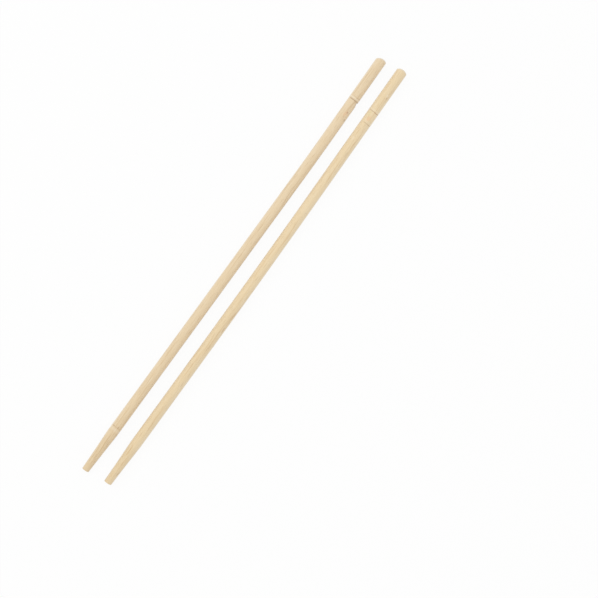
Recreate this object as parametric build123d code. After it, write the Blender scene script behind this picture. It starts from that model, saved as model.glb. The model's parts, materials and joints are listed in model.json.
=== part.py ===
from build123d import *
from dataclasses import dataclass
from math import atan2, degrees, radians
import os

# A pair of round bamboo chopsticks lying loose, side by side, on a table.
# Millimetres. +X points to the thick head ends, +Y to the left stick, +Z up.
# The origin is on the table, under the middle of the pair.


@dataclass
class Stick:
    """The sizes of one stick, turned from a single strip of bamboo."""

    length: float         # head end to tip
    diameter: float       # of the shank, the same all along
    tip_diameter: float   # of the small flat end
    taper_length: float   # the straight cone behind the tip
    bend_start: float     # head end to where the natural bend begins
    bend_length: float    # stretch over which the stick bends
    bend_angle: float     # degrees that it turns there, its middle bowed towards -Y
    bow_lift: float       # degrees that the bow leans up, which carries the middle just off the table
    lean: float           # degrees from +X, towards +Y, that the head end points
    skin_side: float      # degrees above -Y at which the outer skin of the cane faces
    scars: tuple          # (head end to scar, depth) of each line across the cane's node


LEFT = Stick(
    length=209.7,
    diameter=4.55,
    tip_diameter=3.1,
    taper_length=19.0,
    bend_start=38.0,
    bend_length=24.0,
    bend_angle=0.9,
    bow_lift=8.0,
    lean=-0.15,
    skin_side=20.0,
    scars=((21.0, 0.20), (27.0, 0.08)),
)
RIGHT = Stick(
    length=209.9,
    diameter=4.65,
    tip_diameter=3.35,
    taper_length=20.0,
    bend_start=62.0,
    bend_length=85.0,
    bend_angle=0.86,
    bow_lift=8.0,
    lean=0.13,
    skin_side=18.0,
    scars=((21.5, 0.16), (27.3, 0.12)),
)

# How the two lie
HEAD_GAP = 5.0         # clear gap between the shanks, at the head ends
HEAD_STAGGER = 1.3     # how far the right stick's head end lies ahead of the left's

# Finish of both sticks
DOME_HEIGHT = 1.0      # rise of the crowned head end
RIM_RADIUS = 0.8       # rounding between the crown and the shank
TIP_EDGE_RADIUS = 0.2  # rounding of the tip's sharp edge
SCAR_WIDTH = 0.35      # along the stick, of each node scar
SCAR_FLATNESS = 0.25   # how much larger the radius of a scar's floor is than the stick's


def stick_axis(stick):
    """The stick's centre line from its head end at the origin: straight, bend, straight."""
    head_line = Line((0, 0), (-stick.bend_start, 0))
    bend_radius = stick.bend_length / radians(stick.bend_angle)
    bend = JernArc(head_line @ 1, head_line % 1, bend_radius, -stick.bend_angle)
    tail_length = stick.length - stick.bend_start - stick.bend_length - stick.taper_length
    tail_line = Line(bend @ 1, bend @ 1 + (bend % 1) * tail_length)
    return head_line, bend, tail_line


def crowned_head(stick):
    """The straight head stretch: a cylinder whose end is a low dome with a rounded rim."""
    radius = stick.diameter / 2
    rim = (-DOME_HEIGHT, radius)
    crown = TangentArc((0, 0), rim, tangent=(0, 1))
    outline = Polyline(rim, (-stick.bend_start, radius), (-stick.bend_start, 0), (0, 0))
    half_section = make_face(Curve([crown, *outline.edges()]))
    rim_corner = half_section.vertices().sort_by_distance(Vertex(*rim, 0))[0]
    half_section = fillet(rim_corner, RIM_RADIUS)
    return revolve(half_section, Axis.X)


def node_scar(stick, distance, depth):
    """The tool for one scar: a thin slice that bites deepest on the skin side and runs out to nothing."""
    reach = 2 * stick.diameter
    slice_across = Box(SCAR_WIDTH, reach, reach)
    floor = Rot(Y=90) * Cylinder(stick.diameter / 2 + SCAR_FLATNESS, reach)
    crescent = slice_across - Pos(Y=depth + SCAR_FLATNESS) * floor
    return Pos(X=-distance) * Rot(X=-stick.skin_side) * crescent


def tapered_tip(stick):
    """The cone behind the tip, its wide end at the origin and its tip up."""
    cone = Cone(
        stick.diameter / 2,
        stick.tip_diameter / 2,
        stick.taper_length,
        align=(Align.CENTER, Align.CENTER, Align.MIN),
    )
    tip_edge = cone.edges().filter_by(GeomType.CIRCLE).sort_by(Axis.Z)[-1]
    return fillet(tip_edge, TIP_EDGE_RADIUS)


def make_stick(stick):
    """One whole stick, head end at the origin, running along -X."""
    head_line, bend, tail_line = stick_axis(stick)
    section = Circle(stick.diameter / 2)
    body = crowned_head(stick)
    body += revolve((head_line ^ 1) * section, Axis(bend.arc_center, (0, 0, -1)), stick.bend_angle)
    body += extrude((tail_line ^ 0) * section, tail_line.length)
    body += (tail_line ^ 1) * tapered_tip(stick)
    for distance, depth in stick.scars:
        body -= node_scar(stick, distance, depth)
    return body


def lay_down(body, stick, x, y):
    """Lay a stick on the table, its head end over (x, y), borne by the two ends of its shank."""
    shank_end = stick_axis(stick)[2] @ 1
    to_shank_end = degrees(atan2(shank_end.Y, -shank_end.X))
    along_x = Rot(Z=to_shank_end) * body
    return Pos(x, y, stick.diameter / 2) * Rot(Z=stick.lean) * Rot(X=-stick.bow_lift) * along_x


def make_pair():
    """Both sticks in place, with the origin under the middle of the pair."""
    left = lay_down(make_stick(LEFT), LEFT, 0, HEAD_GAP + (LEFT.diameter + RIGHT.diameter) / 2)
    right = lay_down(make_stick(RIGHT), RIGHT, HEAD_STAGGER, 0)
    middle = Compound([left, right]).bounding_box().center()
    to_origin = Pos(-middle.X, -middle.Y)
    return to_origin * left, to_origin * right


os.makedirs("parts", exist_ok=True)
left_chopstick, right_chopstick = make_pair()
export_step(left_chopstick, "parts/left_chopstick.step")
export_step(right_chopstick, "parts/right_chopstick.step")
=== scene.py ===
"""A pair of round bamboo chopsticks on a white table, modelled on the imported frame. Lengths are in metres."""

import json
import math
from dataclasses import dataclass

import bpy
from bpy.props import FloatProperty, FloatVectorProperty, IntProperty, PointerProperty
from mathutils import Matrix, Vector


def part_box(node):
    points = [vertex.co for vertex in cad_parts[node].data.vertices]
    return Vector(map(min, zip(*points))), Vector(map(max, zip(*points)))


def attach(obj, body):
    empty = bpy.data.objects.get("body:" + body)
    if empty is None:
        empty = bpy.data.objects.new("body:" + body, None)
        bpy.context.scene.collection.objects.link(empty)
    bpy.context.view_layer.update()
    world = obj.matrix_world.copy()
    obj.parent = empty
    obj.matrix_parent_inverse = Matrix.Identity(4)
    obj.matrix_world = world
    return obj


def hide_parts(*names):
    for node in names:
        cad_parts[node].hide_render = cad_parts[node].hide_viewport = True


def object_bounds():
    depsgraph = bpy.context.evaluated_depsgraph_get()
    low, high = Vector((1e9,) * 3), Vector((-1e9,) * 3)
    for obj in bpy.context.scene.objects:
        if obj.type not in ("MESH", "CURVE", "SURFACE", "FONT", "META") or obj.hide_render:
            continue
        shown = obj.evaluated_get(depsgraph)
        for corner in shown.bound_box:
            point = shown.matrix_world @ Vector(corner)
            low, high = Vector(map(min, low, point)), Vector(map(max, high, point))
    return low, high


bl_info = {
    "name": "Bamboo chopsticks",
    "version": (1, 0, 0),
    "blender": (4, 5, 0),
    "location": "3D View > Sidebar > Chopsticks",
    "description": "Models a pair of round bamboo chopsticks and the table they lie on",
    "category": "Object",
}

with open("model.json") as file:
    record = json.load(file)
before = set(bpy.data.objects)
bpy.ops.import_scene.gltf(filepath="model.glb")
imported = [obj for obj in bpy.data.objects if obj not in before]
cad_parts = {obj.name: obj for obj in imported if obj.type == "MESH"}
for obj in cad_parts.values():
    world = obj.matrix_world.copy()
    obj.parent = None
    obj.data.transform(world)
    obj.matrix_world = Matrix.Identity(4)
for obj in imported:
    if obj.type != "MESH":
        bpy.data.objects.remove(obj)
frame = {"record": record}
CAD_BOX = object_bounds()
MOUNTS = {mount["name"]: mount for mount in frame["record"]["mounts"]}
MM = 0.001
BODY = "root"
NODE_SKEW = 0.07  # how far the node's lines drift towards the tip, for each length towards -Y
END_FADE = 2.5 * MM  # how far in from an end the slant of that end has faded out


def mount_radius(name):
    """Radius of a stick's shank, as its head mount gives it."""
    return MOUNTS[name]["dims"]["r_mm"] * MM


def node_length(node):
    """Length of a stick along X, from its box in the frame."""
    low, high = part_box(node)
    return high[0] - low[0]


def head_end(node, mount_name):
    """The crown of a stick's head end: where its head axis leaves the node's box."""
    mount = MOUNTS[mount_name]
    place, axis = Vector(mount["pos_m"]), Vector(mount["axis"])
    return place + axis * ((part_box(node)[1][0] - place.x) / axis.x)


# ---------------------------------------------------------------- what a user may change


def length_property(name, description, default):
    """A length that a user may set."""
    return FloatProperty(name=name, description=description, default=default, unit="LENGTH", precision=5)


def angle_property(name, description, degrees):
    """An angle that a user may set, its default given in degrees."""
    return FloatProperty(name=name, description=description, default=math.radians(degrees), subtype="ANGLE")


def colour_property(name, description, srgb):
    """A colour that a user may set, its default given as 0 to 255 screen values."""
    linear = [screen_to_linear(value / 255) for value in srgb]
    return FloatVectorProperty(
        name=name, description=description, default=linear, subtype="COLOR", min=0, max=1
    )


def screen_to_linear(value):
    """One screen colour value, from 0 to 1, as a linear one."""
    return value / 12.92 if value <= 0.04045 else ((value + 0.055) / 1.055) ** 2.4


class ChopstickLeft(bpy.types.PropertyGroup):
    """The left stick's own sizes and colours"""

    length: length_property("Length", "Head end to tip", node_length("left_chopstick"))
    radius: length_property("Radius", "Half the shank's thickness", mount_radius("left_head"))
    tip_radius: length_property("Tip radius", "Half the thickness of the flat tip", 1.55 * MM)
    taper_length: length_property("Taper", "Length of the cone behind the tip", 19 * MM)
    bend_start: length_property("Bend start", "Head end to where the bow begins", 38 * MM)
    bend_length: length_property("Bend length", "Stretch over which the stick bows", 24 * MM)
    bend_angle: angle_property("Bend", "How far the stick turns over the bend", 0.9)
    bow_lift: angle_property("Bow lift", "How far the bow leans up off the table", 8)
    lean: angle_property("Lean", "Direction of the stick, from +X towards +Y", -0.15)
    crown_tilt: angle_property("Crown tilt", "How far the domed head is ground off square", 8)
    tip_ground: length_property("Tip ground", "How far the tip's -Y edge is ground back", 0.12 * MM)
    skin_side: angle_property("Skin side", "Where the outer skin of the cane faces, up from -Y", 12)
    pale: colour_property("Cane", "Body colour", (232, 209, 172))
    streak: colour_property("Fibre", "Colour of the fibre bundles", (208, 178, 134))
    tip_tone: colour_property("Tip tone", "Colour of the ground taper", (225, 200, 159))


class ChopstickRight(bpy.types.PropertyGroup):
    """The right stick's own sizes and colours"""

    length: length_property("Length", "Head end to tip", node_length("right_chopstick"))
    radius: length_property("Radius", "Half the shank's thickness", mount_radius("right_head"))
    tip_radius: length_property("Tip radius", "Half the thickness of the flat tip", 1.675 * MM)
    taper_length: length_property("Taper", "Length of the cone behind the tip", 20 * MM)
    bend_start: length_property("Bend start", "Head end to where the bow begins", 62 * MM)
    bend_length: length_property("Bend length", "Stretch over which the stick bows", 85 * MM)
    bend_angle: angle_property("Bend", "How far the stick turns over the bend", 0.86)
    bow_lift: angle_property("Bow lift", "How far the bow leans up off the table", 8)
    lean: angle_property("Lean", "Direction of the stick, from +X towards +Y", 0.13)
    crown_tilt: angle_property("Crown tilt", "How far the domed head is ground off square", 0.5)
    tip_ground: length_property("Tip ground", "How far the tip's -Y edge is ground back", 0.14 * MM)
    skin_side: angle_property("Skin side", "Where the outer skin of the cane faces, up from -Y", 18)
    pale: colour_property("Cane", "Body colour", (236, 213, 172))
    streak: colour_property("Fibre", "Colour of the fibre bundles", (214, 180, 131))
    tip_tone: colour_property("Tip tone", "Colour of the ground taper", (229, 205, 163))


class ChopstickFinish(bpy.types.PropertyGroup):
    """How both sticks are turned and ground"""

    dome_height: length_property("Dome", "Rise of the crowned head end", 1.0 * MM)
    taper_hollow: length_property("Taper hollow", "How far the cone's middle is ground hollow", 0.05 * MM)
    rim_radius: length_property("Rim", "Rounding between the crown and the shank", 0.8 * MM)
    tip_edge: length_property("Tip edge", "Rounding of the tip's sharp edge", 0.2 * MM)
    node_from: length_property("Node from", "Head end to the start of the cane's node", 17 * MM)
    node_to: length_property("Node to", "Head end to the end of the cane's node", 31 * MM)
    fibre_relief: length_property("Fibre relief", "Depth of the grain in the turned surface", 0.03 * MM)
    sides: IntProperty(name="Sides", description="Facets round a stick", default=128, min=16)


class ChopstickStage(bpy.types.PropertyGroup):
    """Table, light and camera"""

    view_width: length_property("View width", "Width of table that the camera sees", 247 * MM)
    view_x: length_property("View X", "Middle of the view, from the pair's middle", 3.53 * MM)
    view_y: length_property("View Y", "Middle of the view, from the pair's middle", -24.87 * MM)
    view_roll: angle_property("View roll", "Turn of the camera about its line of sight", -54.32)
    camera_height: length_property("Camera height", "Camera above the sticks", 1.0)
    key_power: FloatProperty(
        name="Key light", description="Power of the large lamp", default=1.3, unit="POWER"
    )
    sky: FloatProperty(name="Sky", description="Strength of the white surround", default=0.86)
    table_white: colour_property("Table", "Colour of the table", (244, 244, 243))


# ---------------------------------------------------------------- modelling


def deselect_all():
    """Leave nothing selected, so that an operator acts only on what is chosen next."""
    bpy.ops.object.select_all(action="DESELECT")


def select_points(piece, wanted):
    """In edit mode, select just the points whose place passes the test."""
    bpy.ops.mesh.select_all(action="DESELECT")
    bpy.ops.object.mode_set(mode="OBJECT")
    mesh = piece.data
    mesh.vertices.foreach_set("select", [wanted(point.co) for point in mesh.vertices])
    bpy.ops.object.mode_set(mode="EDIT")
    bpy.ops.mesh.select_mode(type="VERT")


def crown_profile(sizes, finish, steps=14):
    """(distance from the crown, radius) pairs over the domed head end, apex side first.

    A shallow ball meets the shank in a small round rim that touches both.
    """
    radius, rise, rim = sizes.radius, finish.dome_height, finish.rim_radius
    ball = (radius**2 + rise**2) / (2 * rise)
    rim_y = radius - rim
    rim_x = ball - math.sqrt((ball - rim) ** 2 - rim_y**2)
    meeting = math.atan2(rim_y, ball - rim_x)
    profile = []
    for step in range(1, steps + 1):
        angle = meeting * step / steps
        profile.append((ball - ball * math.cos(angle), ball * math.sin(angle)))
    for step in range(1, steps + 1):
        angle = meeting + (math.pi / 2 - meeting) * step / steps
        profile.append((rim_x - rim * math.cos(angle), rim_y + rim * math.sin(angle)))
    return profile


def tip_profile(sizes, finish, steps=6):
    """(distance from the crown, radius) pairs over the tip's rounded edge and its flat end."""
    edge = finish.tip_edge
    slope = math.atan2(sizes.radius - sizes.tip_radius, sizes.taper_length)
    middle = sizes.tip_radius - edge * (1 - math.sin(slope)) / math.cos(slope)
    profile = []
    for step in range(steps + 1):
        angle = slope + (math.pi / 2 - slope) * step / steps
        profile.append((sizes.length - edge + edge * math.sin(angle), middle + edge * math.cos(angle)))
    for share in (0.8, 0.6, 0.4, 0.2):
        profile.append((sizes.length, middle * share))
    return profile


def taper_profile(sizes, finish, tip_start, steps=6):
    """(distance from the crown, radius) pairs down the cone, which is ground slightly hollow."""
    start, end = sizes.length - sizes.taper_length, tip_start[0]
    profile = []
    for step in range(1, steps):
        share = step / steps
        straight = sizes.radius + (tip_start[1] - sizes.radius) * share
        hollow = finish.taper_hollow * math.sin(math.pi * share)
        profile.append((start + (end - start) * share, straight - hollow))
    return profile


def extrude_ring(x, new_x, scale):
    """Carry the selected ring on to a new place along the stick, and make it wider or narrower."""
    bpy.ops.mesh.extrude_region_move(TRANSFORM_OT_translate={"value": (new_x - x, 0, 0)})
    bpy.ops.transform.resize(value=(1, scale, scale), center_override=(new_x, 0, 0))


def turn_rod(name, sizes, finish):
    """The straight turned stick, crown at the origin, running along -X: rings carried from crown to tip."""
    shank_end = sizes.length - sizes.taper_length
    crown = crown_profile(sizes, finish)
    tip = tip_profile(sizes, finish)
    first_x, first_radius = crown[0]
    deselect_all()
    bpy.ops.mesh.primitive_circle_add(
        vertices=finish.sides,
        radius=first_radius,
        location=(-first_x, 0, 0),
        rotation=(0, math.pi / 2, 0),
    )
    rod = bpy.context.object
    rod.name = name
    rod.data.name = name
    bpy.ops.object.transform_apply(location=True, rotation=True, scale=True)
    bpy.ops.object.mode_set(mode="EDIT")
    bpy.ops.mesh.select_all(action="SELECT")
    stations = crown[1:]
    stations += [(finish.node_from, sizes.radius), ((finish.node_from + finish.node_to) / 2, sizes.radius)]
    stations += [(finish.node_to, sizes.radius)]
    middle_length = shank_end - finish.node_to
    stations += [(finish.node_to + middle_length * share, sizes.radius) for share in (1 / 3, 2 / 3, 1)]
    stations += taper_profile(sizes, finish, tip[0])
    stations += tip
    x, radius = first_x, first_radius
    for new_x, new_radius in stations:
        extrude_ring(-x, -new_x, new_radius / radius)
        x, radius = new_x, new_radius
    bpy.ops.mesh.merge(type="CENTER")
    return rod


def close_crown():
    """Close the small hole left at the middle of the crown."""
    bpy.ops.mesh.select_all(action="DESELECT")
    bpy.ops.mesh.select_non_manifold(extend=False, use_wire=False, use_multi_face=False)
    bpy.ops.mesh.edge_face_add()
    bpy.ops.mesh.poke()


def refine_stretch(rod, start, end, cuts):
    """Divide the long faces of one stretch into even rings."""
    bpy.ops.mesh.select_mode(type="VERT")
    slack = 0.01 * MM
    select_points(rod, lambda place: -end - slack < place.x < -start + slack)
    bpy.ops.mesh.select_mode(type="EDGE")
    bpy.ops.object.mode_set(mode="OBJECT")
    mesh = rod.data
    for edge in mesh.edges:
        ends = [mesh.vertices[index].co.x for index in edge.vertices]
        if edge.select:
            edge.select = abs(ends[0] - ends[1]) > slack
    for face in mesh.polygons:
        face.select = False
    bpy.ops.object.mode_set(mode="EDIT")
    bpy.ops.mesh.subdivide(number_cuts=cuts, quadcorner="STRAIGHT_CUT")


def refine_rod(rod, sizes, finish):
    """Give every stretch the rings that its detail needs, closest at the cane's node."""
    shank_end = sizes.length - sizes.taper_length
    crown_end = crown_profile(sizes, finish)[-1][0]
    node_middle = (finish.node_from + finish.node_to) / 2
    third = (shank_end - finish.node_to) / 3
    refine_stretch(rod, crown_end, finish.node_from, 24)
    refine_stretch(rod, finish.node_from, node_middle, 60)
    refine_stretch(rod, node_middle, finish.node_to, 60)
    for part in range(3):
        start = finish.node_to + part * third
        refine_stretch(rod, start, start + third, 80)
    tip_start = tip_profile(sizes, finish)[0]
    places = [shank_end, *(x for x, _ in taper_profile(sizes, finish, tip_start)), tip_start[0]]
    for start, end in zip(places, places[1:]):
        refine_stretch(rod, start, end, 9)


def remember_grain(rod):
    """Keep each point's place on the straight stick, which the fibres follow through the bow."""
    grain = rod.data.attributes.new("grain", "FLOAT_VECTOR", "POINT")
    flat = [value for point in rod.data.vertices for value in point.co]
    grain.data.foreach_set("vector", flat)


def press_in(rod, name, weight_of, depth, direction="NORMAL"):
    """Sink the surface by depth times a weight that is given for each place, or move it towards -X."""
    group = rod.vertex_groups.new(name=name)
    for point in rod.data.vertices:
        weight = weight_of(point.co)
        if weight > 0.001:
            group.add([point.index], weight, "REPLACE")
    press = rod.modifiers.new(name, "DISPLACE")
    press.vertex_group = name
    press.direction = direction
    press.mid_level = 0
    press.strength = -depth
    bpy.ops.object.modifier_apply(modifier=name)
    rod.vertex_groups.remove(rod.vertex_groups[name])


def near_end(place, end, outward):
    """How much of an end's slant a place takes: all of it at the end, less and less along the stick."""
    near = min(1, max(0, 1 - (end - place.x) * outward / END_FADE))
    return near * near * (3 - 2 * near)


def slant_crown(rod, sizes, finish):
    """Lean the domed head along the stick, as if ground off square: back on +Y, forth on -Y."""
    end = -crown_profile(sizes, finish)[-1][0]
    lean = sizes.radius * math.tan(sizes.crown_tilt)
    for side in (1, -1):

        def weight(place):
            return near_end(place, end, 1) * max(0, side * place.y / sizes.radius)

        press_in(rod, "crown slant", weight, side * lean, "X")


def grind_tip(rod, sizes):
    """Grind the flat tip back towards its -Y edge."""

    def weight(place):
        across = min(1, max(0, -place.y / sizes.tip_radius))
        return near_end(place, -sizes.length, -1) * across**2

    press_in(rod, "tip ground", weight, -sizes.tip_ground, "X")


def grain_relief(rod, depth):
    """Long shallow grooves between the fibres: a cloud pattern drawn out along the stick."""
    clouds = bpy.data.textures.new("fibre clouds", "CLOUDS")
    clouds.noise_scale = 0.35
    clouds.noise_depth = 2
    stretcher = bpy.data.objects.new("grain stretcher", None)
    bpy.context.collection.objects.link(stretcher)
    stretcher.scale = (25 * MM, MM, MM)
    bpy.context.view_layer.update()
    relief = rod.modifiers.new("fibres", "DISPLACE")
    relief.texture = clouds
    relief.texture_coords = "OBJECT"
    relief.texture_coords_object = stretcher
    relief.direction = "NORMAL"
    relief.mid_level = 1
    relief.strength = depth
    bpy.ops.object.modifier_apply(modifier="fibres")
    bpy.data.objects.remove(stretcher)


def bow_rod(rod, sizes, steps=24):
    """Bend the stick in small equal turns, each carrying all that lies nearer the tip."""
    for step in range(steps):
        distance = sizes.bend_start + sizes.bend_length * (step + 0.5) / steps
        turned = sizes.bend_angle * step / steps
        select_beyond(rod, distance)
        centre = bow_point(sizes, distance)
        bpy.ops.transform.rotate(value=sizes.bend_angle / steps, orient_axis="Z", center_override=centre)


def bow_point(sizes, distance):
    """Place of the bowed centre line at a distance from the crown, up to the end of the bend."""
    radius = sizes.bend_length / sizes.bend_angle
    angle = (distance - sizes.bend_start) / radius
    x = -sizes.bend_start - radius * math.sin(angle)
    return (x, radius * (1 - math.cos(angle)), 0)


def select_beyond(rod, distance):
    """Select what lies farther from the crown than a distance, measured on the straight stick."""
    bpy.ops.object.mode_set(mode="OBJECT")
    mesh = rod.data
    grain = mesh.attributes["grain"].data
    for element in (mesh.vertices, mesh.edges, mesh.polygons):
        element.foreach_set("select", [False] * len(element))
    mesh.vertices.foreach_set("select", [point.vector.x < -distance for point in grain])
    bpy.ops.object.mode_set(mode="EDIT")


def lay_down(rod, sizes, crown_place):
    """Put the straight-built stick where the frame has it, and leave its place in its mesh."""
    bend_end = Vector(bow_point(sizes, sizes.bend_start + sizes.bend_length))
    tail = sizes.length - sizes.bend_start - sizes.bend_length - sizes.taper_length
    heading = Vector((-math.cos(sizes.bend_angle), math.sin(sizes.bend_angle), 0))
    shank_end = bend_end + heading * tail
    along_x = Matrix.Rotation(math.atan2(shank_end.y, -shank_end.x), 4, "Z")
    lifted = Matrix.Rotation(-sizes.bow_lift, 4, "X")
    leaned = Matrix.Rotation(sizes.lean, 4, "Z")
    rod.matrix_world = Matrix.Translation(crown_place) @ leaned @ lifted @ along_x
    deselect_all()
    rod.select_set(True)
    bpy.context.view_layer.objects.active = rod
    bpy.ops.object.transform_apply(location=True, rotation=True, scale=True)


@dataclass
class Scar:
    """A cut across the cane's node, deepest towards the skin side and running out round the stick."""

    distance: float  # from the crown to its deepest line
    depth: float
    headward: float  # length of its slope on the crown's side
    tipward: float   # length of its slope on the tip's side
    reach: float     # cosine of the angle off the skin side at which it has run out


def scar_weight(sizes, scar):
    """How deep a scar lies at each place of the straight stick, from 0 to 1."""
    skin = Vector((0, -math.cos(sizes.skin_side), math.sin(sizes.skin_side)))

    def weight(place):
        past = -place.x - scar.distance + NODE_SKEW * place.y
        near = 1 + past / scar.headward if past < 0 else 1 - past / scar.tipward
        if near <= 0:
            return 0
        facing = Vector((0, place.y, place.z)).normalized().dot(skin)
        near *= max(0, (facing - scar.reach) / (1 - scar.reach))
        return near * near * (3 - 2 * near)

    return weight


def make_stick(name, node, mount_name, sizes, finish, scars):
    """One finished stick: turned, refined, scarred, bowed and laid in place of its CAD node."""
    rod = turn_rod(name, sizes, finish)
    close_crown()
    refine_rod(rod, sizes, finish)
    bpy.ops.mesh.select_all(action="SELECT")
    bpy.ops.mesh.normals_make_consistent(inside=False)
    bpy.ops.object.mode_set(mode="OBJECT")
    remember_grain(rod)
    for number, scar in enumerate(scars):
        press_in(rod, f"scar {number}", scar_weight(sizes, scar), scar.depth)
    grain_relief(rod, finish.fibre_relief)
    slant_crown(rod, sizes, finish)
    grind_tip(rod, sizes)
    bpy.ops.object.mode_set(mode="EDIT")
    bow_rod(rod, sizes)
    bpy.ops.object.mode_set(mode="OBJECT")
    lay_down(rod, sizes, head_end(node, mount_name))
    bpy.ops.object.shade_smooth_by_angle(angle=math.radians(40))
    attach(rod, BODY)
    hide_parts(node)
    return rod


# ---------------------------------------------------------------- materials


class Sheet:
    """A material's node tree, with short calls for the nodes that it needs."""

    def __init__(self, name):
        self.material = bpy.data.materials.new(name)
        self.material.use_nodes = True
        self.tree = self.material.node_tree
        self.tree.nodes.clear()

    def add(self, kind, inputs=(), **settings):
        """A node with its settings and inputs; an input is a value or another node's output."""
        node = self.tree.nodes.new(kind)
        for key, value in settings.items():
            setattr(node, key, value)
        for key, value in dict(inputs).items():
            if isinstance(value, bpy.types.NodeSocket):
                self.tree.links.new(value, node.inputs[key])
            else:
                node.inputs[key].default_value = value
        return node

    def calc(self, operation, a, b=0.0, clamp=False):
        """One sum on two numbers."""
        return self.add("ShaderNodeMath", {0: a, 1: b}, operation=operation, use_clamp=clamp).outputs[0]

    def ramp(self, value, low, high):
        """A smooth rise from 0 below low to 1 above high; low may be the larger."""
        inputs = {"Value": value, "From Min": low, "From Max": high}
        return self.add("ShaderNodeMapRange", inputs, interpolation_type="SMOOTHSTEP", clamp=True).outputs[0]

    def mix(self, share, first, second):
        """First colour where share is 0, second where it is 1."""
        node = self.add("ShaderNodeMix", data_type="RGBA")
        for key, value in (("Factor_Float", share), ("A_Color", first), ("B_Color", second)):
            socket = next(s for s in node.inputs if s.identifier == key)
            if isinstance(value, bpy.types.NodeSocket):
                self.tree.links.new(value, socket)
            elif key == "Factor_Float":
                socket.default_value = value
            else:
                socket.default_value = (*value[:3], 1)
        return next(s for s in node.outputs if s.identifier == "Result_Color")


class Grain:
    """Where a point lies in the cane, in millimetres on the straight stick, and the marks found there."""

    def __init__(self, sheet, shift):
        attribute = sheet.add("ShaderNodeAttribute", attribute_name="grain", attribute_type="GEOMETRY")
        scaled = {0: attribute.outputs["Vector"], "Scale": 1 / MM}
        self.sheet = sheet
        self.shift = shift
        self.place = sheet.add("ShaderNodeVectorMath", scaled, operation="SCALE").outputs[0]
        split = sheet.add("ShaderNodeSeparateXYZ", {0: self.place})
        self.distance = sheet.calc("MULTIPLY", split.outputs[0], -1.0)
        self.across = split.outputs[1]
        self.up = split.outputs[2]
        ragged = sheet.calc("SUBTRACT", self.noise(0.3, 1.3, detail=3.0), 0.5)
        skew = sheet.calc("MULTIPLY", self.across, NODE_SKEW)
        drawn = sheet.calc("ADD", self.distance, skew)
        self.ring = sheet.calc("ADD", drawn, sheet.calc("MULTIPLY", ragged, 0.35))

    def stretched(self, along, across, source=None):
        """Coordinates for a pattern with this many repeats per millimetre along and across."""
        inputs = {"Vector": source or self.place, "Location": self.shift, "Scale": (along, across, across)}
        return self.sheet.add("ShaderNodeMapping", inputs).outputs[0]

    def noise(self, along, across, detail=2.0, source=None):
        """Soft noise from 0 to 1, drawn out along the stick where along is the smaller."""
        inputs = {"Vector": self.stretched(along, across, source), "Scale": 1.0, "Detail": detail}
        return self.sheet.add("ShaderNodeTexNoise", inputs).outputs[0]

    def cells(self, along, across, source=None):
        """Distance from the nearest of scattered points, 0 at each."""
        inputs = {"Vector": self.stretched(along, across, source), "Scale": 1.0}
        return self.sheet.add("ShaderNodeTexVoronoi", inputs, feature="F1").outputs["Distance"]

    def line(self, distance, width, towards_skin=(9, 8)):
        """1 on a fine ragged line across the stick, kept to the side where across falls past two values."""
        sheet = self.sheet
        past = sheet.calc("SUBTRACT", self.ring, distance)
        headward = sheet.ramp(past, -0.5 * width, -0.2 * width)
        feathered = sheet.calc("MULTIPLY", self.noise(0.15, 9.0), 2.2 * width)
        tipward = sheet.ramp(sheet.calc("SUBTRACT", past, feathered), 0.0, -width)
        on_side = sheet.ramp(self.across, *towards_skin)
        uneven = sheet.ramp(self.noise(0.2, 0.9, detail=3.0), 0.25, 0.6)
        uneven = sheet.calc("ADD", sheet.calc("MULTIPLY", uneven, 0.5), 0.5)
        line = sheet.calc("MULTIPLY", headward, tipward)
        return sheet.calc("MULTIPLY", line, sheet.calc("MULTIPLY", on_side, uneven))

    def spot(self, distance, across, length, width, ragged=0.6):
        """1 at a place on the upper side of the stick, running out raggedly over an oval."""
        sheet = self.sheet
        along = sheet.calc("DIVIDE", sheet.calc("SUBTRACT", self.distance, distance), length)
        aside = sheet.calc("DIVIDE", sheet.calc("SUBTRACT", self.across, across), width)
        reach = sheet.calc("ADD", sheet.calc("MULTIPLY", along, along), sheet.calc("MULTIPLY", aside, aside))
        rough = sheet.calc("SUBTRACT", self.noise(1.2, 3.0, detail=3.0), 0.5)
        rough = sheet.calc("MULTIPLY", rough, 4 * ragged)
        on_top = sheet.ramp(self.up, 0.0, 0.4)
        return sheet.calc("MULTIPLY", sheet.ramp(sheet.calc("ADD", reach, rough), 1.0, 0.0), on_top)


VESSEL_BROWN = [screen_to_linear(value / 255) for value in (163, 122, 78)]
SCAR_BROWN = [screen_to_linear(value / 255) for value in (138, 100, 64)]
SCAR_RED = [screen_to_linear(value / 255) for value in (166, 108, 78)]
WARM_BLUSH = [screen_to_linear(value / 255) for value in (240, 196, 154)]
GREEN_TINGE = [screen_to_linear(value / 255) for value in (226, 213, 160)]
PITH_WHITE = [screen_to_linear(value / 255) for value in (246, 233, 208)]


def paint(sheet, colour, cover, strength, paint_colour):
    """Lay a mark's colour over the cane's, as strong as asked where the mark covers it."""
    return sheet.mix(sheet.calc("MULTIPLY", cover, strength), colour, paint_colour)


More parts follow.
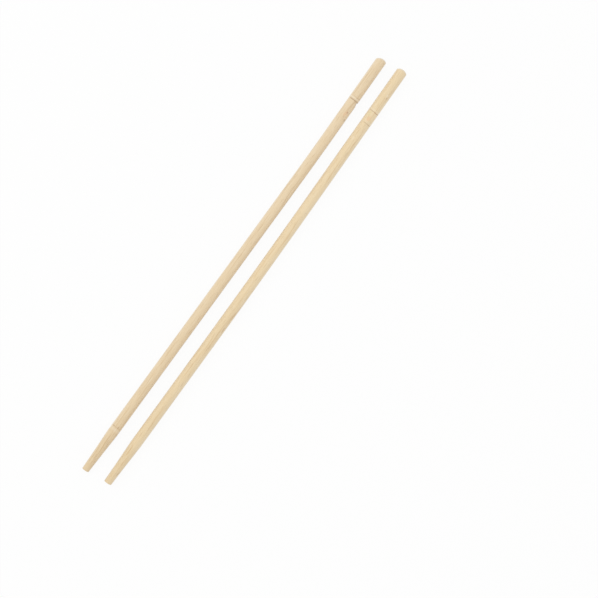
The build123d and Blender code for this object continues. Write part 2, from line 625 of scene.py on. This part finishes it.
def left_marks(sheet, grain, colour, taper_start):
    """The left stick's node: a pale line before a dark one, and small specks."""
    colour = paint(sheet, colour, grain.line(19.35, 0.2, (1.0, -0.2)), 0.35, VESSEL_BROWN)
    colour = paint(sheet, colour, grain.line(19.95, 0.45), 0.65, PITH_WHITE)
    colour = paint(sheet, colour, grain.line(20.4, 0.2, (1.9, 0.4)), 0.3, VESSEL_BROWN)
    colour = paint(sheet, colour, grain.line(20.8, 0.28, (2.3, 1.0)), 0.85, SCAR_BROWN)
    colour = paint(sheet, colour, grain.spot(27.6, -0.9, 1.8, 0.9), 0.4, WARM_BLUSH)
    colour = paint(sheet, colour, grain.spot(26.75, -1.3, 0.6, 0.35), 0.45, SCAR_RED)
    colour = paint(sheet, colour, grain.spot(30.0, -1.95, 0.8, 0.3), 0.35, SCAR_BROWN)
    colour = paint(sheet, colour, grain.line(taper_start - 3.2, 0.3), 0.35, VESSEL_BROWN)
    colour = paint(sheet, colour, grain.line(taper_start - 2.1, 1.1), 0.35, PITH_WHITE)
    colour = paint(sheet, colour, grain.spot(taper_start - 3.2, 1.0, 0.5, 0.3), 0.35, VESSEL_BROWN)
    return paint(sheet, colour, grain.spot(taper_start - 3.4, -1.05, 0.7, 0.35), 0.4, VESSEL_BROWN)


def right_marks(sheet, grain, colour, taper_start):
    """The right stick's node: two fine brown lines with a warm patch between them, and pale flecks."""
    colour = paint(sheet, colour, grain.line(20.5, 0.5), 0.35, PITH_WHITE)
    first = grain.line(21.3, 0.24, (2.8, 0.8))
    colour = paint(sheet, colour, first, 0.52, SCAR_BROWN)
    reddened = sheet.calc("MULTIPLY", first, sheet.ramp(grain.across, 0.0, -1.2))
    colour = paint(sheet, colour, reddened, 0.45, SCAR_RED)
    colour = paint(sheet, colour, grain.spot(23.0, 0.7, 1.4, 0.7), 0.5, GREEN_TINGE)
    colour = paint(sheet, colour, grain.spot(24.9, -0.2, 1.6, 0.8), 0.55, WARM_BLUSH)
    colour = paint(sheet, colour, grain.line(26.1, 0.5, (1.2, 0.0)), 0.25, PITH_WHITE)
    colour = paint(sheet, colour, grain.line(27.0, 0.24, (1.8, 0.0)), 0.55, SCAR_BROWN)
    colour = paint(sheet, colour, grain.spot(12.7, -1.2, 0.8, 0.4), 0.5, PITH_WHITE)
    colour = paint(sheet, colour, grain.spot(14.0, -1.55, 0.7, 0.3), 0.3, VESSEL_BROWN)
    return paint(sheet, colour, grain.spot(35.0, 0.4, 1.2, 0.6), 0.3, PITH_WHITE)


def bamboo(name, sizes, marks, shift):
    """Dry turned cane: pale ground tissue, darker fibre bundles drawn out along it, a toned taper."""
    sheet = Sheet(name)
    grain = Grain(sheet, shift)
    taper_start = (sizes.length - sizes.taper_length) / MM
    in_taper = sheet.ramp(grain.distance, taper_start - 1.5, taper_start + 4.0)

    wander = grain.noise(0.05, 0.35, detail=1.0)
    drift = sheet.calc("MULTIPLY", sheet.calc("SUBTRACT", wander, 0.5), 2.2)
    aside = sheet.add("ShaderNodeCombineXYZ", {1: drift, 2: drift}).outputs[0]
    woven = sheet.add("ShaderNodeVectorMath", {0: grain.place, 1: aside}, operation="ADD").outputs[0]

    broad = grain.noise(0.03, 0.5, detail=2.0)
    fine = grain.noise(0.15, 9.0, detail=3.0, source=woven)
    bundles = sheet.ramp(grain.cells(0.03, 1.5, woven), 0.42, 0.14)
    vessels = sheet.ramp(grain.cells(0.12, 2.6, woven), 0.24, 0.1)

    towards_tip = sheet.calc("MULTIPLY", sheet.ramp(grain.distance, 45.0, taper_start), 0.5)
    tissue = sheet.mix(sheet.calc("MAXIMUM", in_taper, towards_tip), sizes.pale, sizes.tip_tone)
    tissue = sheet.mix(sheet.calc("MULTIPLY", sheet.ramp(fine, 0.45, 0.75), 0.5), tissue, PITH_WHITE)
    density = sheet.calc("MULTIPLY", bundles, sheet.ramp(fine, 0.2, 0.6))
    density = sheet.calc("MULTIPLY", density, sheet.calc("ADD", sheet.ramp(broad, 0.3, 0.7), 0.4))
    strength = sheet.calc("ADD", 0.62, sheet.calc("MULTIPLY", in_taper, 0.25))
    colour = sheet.mix(sheet.calc("MULTIPLY", density, strength, clamp=True), tissue, sizes.streak)
    strength = sheet.calc("ADD", 0.3, sheet.calc("MULTIPLY", in_taper, 0.25))
    colour = sheet.mix(sheet.calc("MULTIPLY", vessels, strength), colour, VESSEL_BROWN)
    colour = marks(sheet, grain, colour, taper_start)

    height = sheet.calc("SUBTRACT", sheet.calc("MULTIPLY", fine, 0.6), sheet.calc("MULTIPLY", vessels, 0.5))
    bump = sheet.add("ShaderNodeBump", {"Height": height, "Strength": 0.7, "Distance": 0.03 * MM})
    rough = sheet.add("ShaderNodeMapRange", {"Value": fine, "To Min": 0.55, "To Max": 0.72}).outputs[0]
    shader = sheet.add(
        "ShaderNodeBsdfPrincipled",
        {
            "Base Color": colour,
            "Roughness": rough,
            "Normal": bump.outputs[0],
            "Specular IOR Level": 0.4,
            "Sheen Weight": 0.75,
            "Sheen Roughness": 0.5,
        },
    )
    sheet.add("ShaderNodeOutputMaterial", {"Surface": shader.outputs[0]})
    return sheet.material


def table_paint(settings):
    """White table: seen white by the eye, with the sticks' own soft shadow kept."""
    sheet = Sheet("white table")
    lit = sheet.add("ShaderNodeBsdfDiffuse", {"Color": (*settings.table_white, 1)})
    glow = sheet.add("ShaderNodeEmission", {"Color": (1, 1, 1, 1), "Strength": 1.0})
    both = sheet.add("ShaderNodeMixShader", {0: 0.92, 1: lit.outputs[0], 2: glow.outputs[0]})
    ray = sheet.add("ShaderNodeLightPath")
    seen = sheet.calc("MAXIMUM", ray.outputs["Is Camera Ray"], ray.outputs["Is Glossy Ray"])
    seen = sheet.calc("MAXIMUM", seen, ray.outputs["Is Transmission Ray"])
    final = sheet.add("ShaderNodeMixShader", {0: seen, 1: lit.outputs[0], 2: both.outputs[0]})
    sheet.add("ShaderNodeOutputMaterial", {"Surface": final.outputs[0]})
    return sheet.material


# ---------------------------------------------------------------- operators


class CHOPSTICKS_OT_left(bpy.types.Operator):
    """Model the left stick in place of its CAD node"""

    bl_idname = "chopsticks.left"
    bl_label = "Left chopstick"

    def execute(self, context):
        sizes, finish = context.scene.chopstick_left, context.scene.chopstick_finish
        scars = (
            Scar(21.1 * MM, 0.38 * MM, 0.25 * MM, 2.2 * MM, 0.55),
            Scar(21.0 * MM, 0.07 * MM, 0.2 * MM, 0.25 * MM, -0.3),
            Scar(20.4 * MM, 0.03 * MM, 0.2 * MM, 0.2 * MM, -0.2),
            Scar(27.0 * MM, 0.08 * MM, 0.2 * MM, 0.6 * MM, 0.75),
        )
        stick = make_stick("left_stick", "left_chopstick", "left_head", sizes, finish, scars)
        stick.data.materials.append(bamboo("bamboo left", sizes, left_marks, (5, 13, 2)))
        return {"FINISHED"}


class CHOPSTICKS_OT_right(bpy.types.Operator):
    """Model the right stick in place of its CAD node"""

    bl_idname = "chopsticks.right"
    bl_label = "Right chopstick"

    def execute(self, context):
        sizes, finish = context.scene.chopstick_right, context.scene.chopstick_finish
        scars = (
            Scar(21.5 * MM, 0.14 * MM, 0.2 * MM, 0.3 * MM, -0.2),
            Scar(27.3 * MM, 0.1 * MM, 0.2 * MM, 0.35 * MM, 0.2),
        )
        stick = make_stick("right_stick", "right_chopstick", "right_head", sizes, finish, scars)
        stick.data.materials.append(bamboo("bamboo right", sizes, right_marks, (31, 4, 17)))
        return {"FINISHED"}


class CHOPSTICKS_OT_stage(bpy.types.Operator):
    """Set the table, the light and the camera"""

    bl_idname = "chopsticks.stage"
    bl_label = "Table, light and camera"

    def execute(self, context):
        settings = context.scene.chopstick_stage
        middle = [(low + high) / 2 for low, high in zip(*CAD_BOX)]
        deselect_all()
        bpy.ops.mesh.primitive_plane_add(size=4, location=(middle[0], middle[1], CAD_BOX[0][2]))
        table = context.object
        table.name = "table"
        table.data.materials.append(table_paint(settings))

        world = bpy.data.worlds.new("white surround")
        context.scene.world = world
        world.use_nodes = True
        nodes, links = world.node_tree.nodes, world.node_tree.links
        ray = nodes.new("ShaderNodeLightPath")
        level = nodes.new("ShaderNodeMapRange")
        level.inputs["To Min"].default_value = settings.sky
        level.inputs["To Max"].default_value = 1
        links.new(ray.outputs["Is Camera Ray"], level.inputs["Value"])
        nodes["Background"].inputs["Color"].default_value = (1, 1, 1, 1)
        links.new(level.outputs[0], nodes["Background"].inputs["Strength"])

        bpy.ops.object.light_add(type="AREA", location=(middle[0], middle[1] + 0.55, 0.6))
        key = context.object
        key.name = "key light"
        key.data.shape = "SQUARE"
        key.data.size = 0.7
        key.data.energy = settings.key_power
        aim = Vector(middle) - key.location
        key.rotation_euler = aim.to_track_quat("-Z", "Y").to_euler()

        place = [middle[0] + settings.view_x, middle[1] + settings.view_y, middle[2] + settings.camera_height]
        bpy.ops.object.camera_add(location=place, rotation=(0, 0, settings.view_roll))
        camera = context.object
        camera.name = "camera"
        camera.data.sensor_width = 36
        camera.data.lens = camera.data.sensor_width * settings.camera_height / settings.view_width
        camera.data.clip_end = 20
        context.scene.camera = camera
        context.scene.view_settings.view_transform = "Standard"
        return {"FINISHED"}


class CHOPSTICKS_PT_panel(bpy.types.Panel):
    """Buttons for the pair and its stage"""

    bl_idname = "CHOPSTICKS_PT_panel"
    bl_label = "Bamboo chopsticks"
    bl_space_type = "VIEW_3D"
    bl_region_type = "UI"
    bl_category = "Chopsticks"

    def draw(self, context):
        for operator in OPERATORS:
            self.layout.operator(operator.bl_idname)
        for name in SETTINGS:
            group = getattr(context.scene, name)
            box = self.layout.box()
            for key in group.__annotations__:
                box.prop(group, key)


SETTINGS = {
    "chopstick_left": ChopstickLeft,
    "chopstick_right": ChopstickRight,
    "chopstick_finish": ChopstickFinish,
    "chopstick_stage": ChopstickStage,
}
OPERATORS = (CHOPSTICKS_OT_left, CHOPSTICKS_OT_right, CHOPSTICKS_OT_stage)
CLASSES = (*SETTINGS.values(), *OPERATORS, CHOPSTICKS_PT_panel)


def register():
    for new_class in CLASSES:
        bpy.utils.register_class(new_class)
    for name, group in SETTINGS.items():
        setattr(bpy.types.Scene, name, PointerProperty(type=group))


def unregister():
    for name in SETTINGS:
        delattr(bpy.types.Scene, name)
    for old_class in reversed(CLASSES):
        bpy.utils.unregister_class(old_class)


def main():
    register()
    bpy.ops.chopsticks.left()
    bpy.ops.chopsticks.right()
    bpy.ops.chopsticks.stage()


if __name__ == "__main__":
    main()
